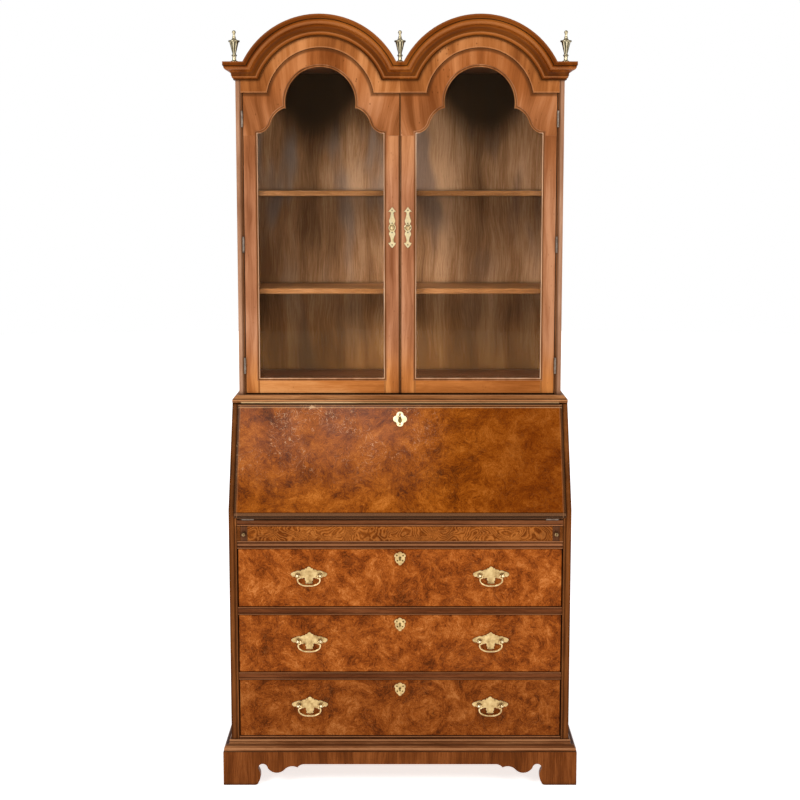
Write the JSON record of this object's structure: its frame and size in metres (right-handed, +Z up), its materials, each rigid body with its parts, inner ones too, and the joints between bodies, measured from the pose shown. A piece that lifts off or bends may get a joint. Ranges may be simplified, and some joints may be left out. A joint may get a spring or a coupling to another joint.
{
  "type": "secretary desk",
  "caption": "Tall secretary desk: chest of drawers with a slanted fall-front writing lid under a glazed bookcase with an arched bonnet top.",
  "frame": {"origin": "centre of the footprint, on the floor", "axes": "+Z up, +Y to the back, +X to the viewer's right when facing the front"},
  "size_m": [0.992, 0.497, 2.137],
  "materials": {
    "walnut": "satin lacquer over straight-grained walnut",
    "burl_walnut": "polished lacquer over burl veneer",
    "crossbanded_walnut": "satin lacquer over crossbanded veneer",
    "moulding_walnut": "satin lacquer over cross-grained mouldings",
    "inner_wood": "plain sanded secondary wood",
    "back_panel": "dark flat-sawn walnut, satin",
    "brass": "antique brass, softly polished",
    "glass": "clear sheet glass"
  },
  "bodies": {
    "desk": {"case_side_left": "walnut", "case_side_right": "walnut", "drawer_rails": "walnut", "writing_bed": "walnut", "desk_top": "walnut", "base_moulding": "walnut", "bracket_base_front": "walnut", "bracket_base_sides": "walnut", "cabinet_side_left": "walnut", "cabinet_side_right": "walnut", "cabinet_bottom": "walnut", "shelf_upper": "walnut", "shelf_lower": "walnut", "loper_strip": "burl_walnut", "frieze_board": "crossbanded_walnut", "cornice_front": "moulding_walnut", "cornice_returns": "moulding_walnut", "case_back": "inner_wood", "dust_boards": "inner_wood", "loper_guides": "inner_wood", "plinth_frame": "inner_wood", "gallery_frame": "inner_wood", "cabinet_top": "inner_wood", "cabinet_back": "back_panel", "bed_hinge_leaves": "brass", "shelf_pins": "brass", "finials": "brass", "case_hinge_leaves": "brass"},
    "lid": {"lid_panel": "burl_walnut", "lid_escutcheon": "brass", "lid_hinge_leaves": "brass"},
    "keyhole_cover": {"lid_keyhole_cover": "brass"},
    "door_left": {"door_left_frame": "walnut", "door_left_glass": "glass", "door_left_pull": "brass", "door_left_hinge_leaves": "brass"},
    "loper_left": {"loper_left": "walnut"},
    "door_right": {"door_right_frame": "walnut", "door_right_glass": "glass", "door_right_pull": "brass", "door_right_hinge_leaves": "brass"},
    "loper_right": {"loper_right": "walnut"},
    "drawer_1": {"drawer_1_front": "burl_walnut", "drawer_1_box": "inner_wood", "drawer_1_brasses": "brass"},
    "bail_1_left": {"bail_1_left": "brass"},
    "bail_1_right": {"bail_1_right": "brass"},
    "drawer_2": {"drawer_2_front": "burl_walnut", "drawer_2_box": "inner_wood", "drawer_2_brasses": "brass"},
    "bail_2_left": {"bail_2_left": "brass"},
    "bail_2_right": {"bail_2_right": "brass"},
    "drawer_3": {"drawer_3_front": "burl_walnut", "drawer_3_box": "inner_wood", "drawer_3_brasses": "brass"},
    "bail_3_left": {"bail_3_left": "brass"},
    "bail_3_right": {"bail_3_right": "brass"},
    "gallery_drawer_1": {"gallery_drawer_1": "inner_wood"},
    "gallery_drawer_2": {"gallery_drawer_2": "inner_wood"},
    "gallery_drawer_3": {"gallery_drawer_3": "inner_wood"}
  },
  "joints": [
    {"name": "lid_fall", "type": "hinge", "parent": "desk", "child": "lid", "pos_m": [0, -0.227, 0.7575], "axis": [1, 0, 0], "range_deg": [0, 117.7]},
    {"name": "keyhole_cover_swing", "type": "hinge", "parent": "lid", "child": "keyhole_cover", "pos_m": [0, -0.11084, 1.02801], "axis": [0, -0.8854, 0.4648], "range_deg": [-80, 80]},
    {"name": "door_left_swing", "type": "hinge", "parent": "desk", "child": "door_left", "pos_m": [-0.43875, -0.0635, 1.507], "axis": [0, 0, -1], "range_deg": [0, 110]},
    {"name": "loper_left_slide", "type": "slide", "parent": "desk", "child": "loper_left", "axis": [0, -1, 0], "range_m": [0, 0.25]},
    {"name": "door_right_swing", "type": "hinge", "parent": "desk", "child": "door_right", "pos_m": [0.43875, -0.0635, 1.507], "axis": [0, 0, 1], "range_deg": [0, 110]},
    {"name": "loper_right_slide", "type": "slide", "parent": "desk", "child": "loper_right", "axis": [0, -1, 0], "range_m": [0, 0.25]},
    {"name": "drawer_1_slide", "type": "slide", "parent": "desk", "child": "drawer_1", "axis": [0, -1, 0], "range_m": [0, 0.35]},
    {"name": "bail_1_left_swing", "type": "hinge", "parent": "drawer_1", "child": "bail_1_left", "pos_m": [-0.253, -0.237, 0.6], "axis": [-1, 0, 0], "range_deg": [0, 85]},
    {"name": "bail_1_right_swing", "type": "hinge", "parent": "drawer_1", "child": "bail_1_right", "pos_m": [0.253, -0.237, 0.6], "axis": [-1, 0, 0], "range_deg": [0, 85]},
    {"name": "drawer_2_slide", "type": "slide", "parent": "desk", "child": "drawer_2", "axis": [0, -1, 0], "range_m": [0, 0.35]},
    {"name": "bail_2_left_swing", "type": "hinge", "parent": "drawer_2", "child": "bail_2_left", "pos_m": [-0.253, -0.237, 0.41225], "axis": [-1, 0, 0], "range_deg": [0, 85]},
    {"name": "bail_2_right_swing", "type": "hinge", "parent": "drawer_2", "child": "bail_2_right", "pos_m": [0.253, -0.237, 0.41225], "axis": [-1, 0, 0], "range_deg": [0, 85]},
    {"name": "drawer_3_slide", "type": "slide", "parent": "desk", "child": "drawer_3", "axis": [0, -1, 0], "range_m": [0, 0.35]},
    {"name": "bail_3_left_swing", "type": "hinge", "parent": "drawer_3", "child": "bail_3_left", "pos_m": [-0.253, -0.237, 0.2265], "axis": [-1, 0, 0], "range_deg": [0, 85]},
    {"name": "bail_3_right_swing", "type": "hinge", "parent": "drawer_3", "child": "bail_3_right", "pos_m": [0.253, -0.237, 0.2265], "axis": [-1, 0, 0], "range_deg": [0, 85]},
    {"name": "gallery_drawer_1_slide", "type": "slide", "parent": "desk", "child": "gallery_drawer_1", "axis": [0, -1, 0], "range_m": [0, 0.125]},
    {"name": "gallery_drawer_2_slide", "type": "slide", "parent": "desk", "child": "gallery_drawer_2", "axis": [0, -1, 0], "range_m": [0, 0.125]},
    {"name": "gallery_drawer_3_slide", "type": "slide", "parent": "desk", "child": "gallery_drawer_3", "axis": [0, -1, 0], "range_m": [0, 0.125]}
  ]
}
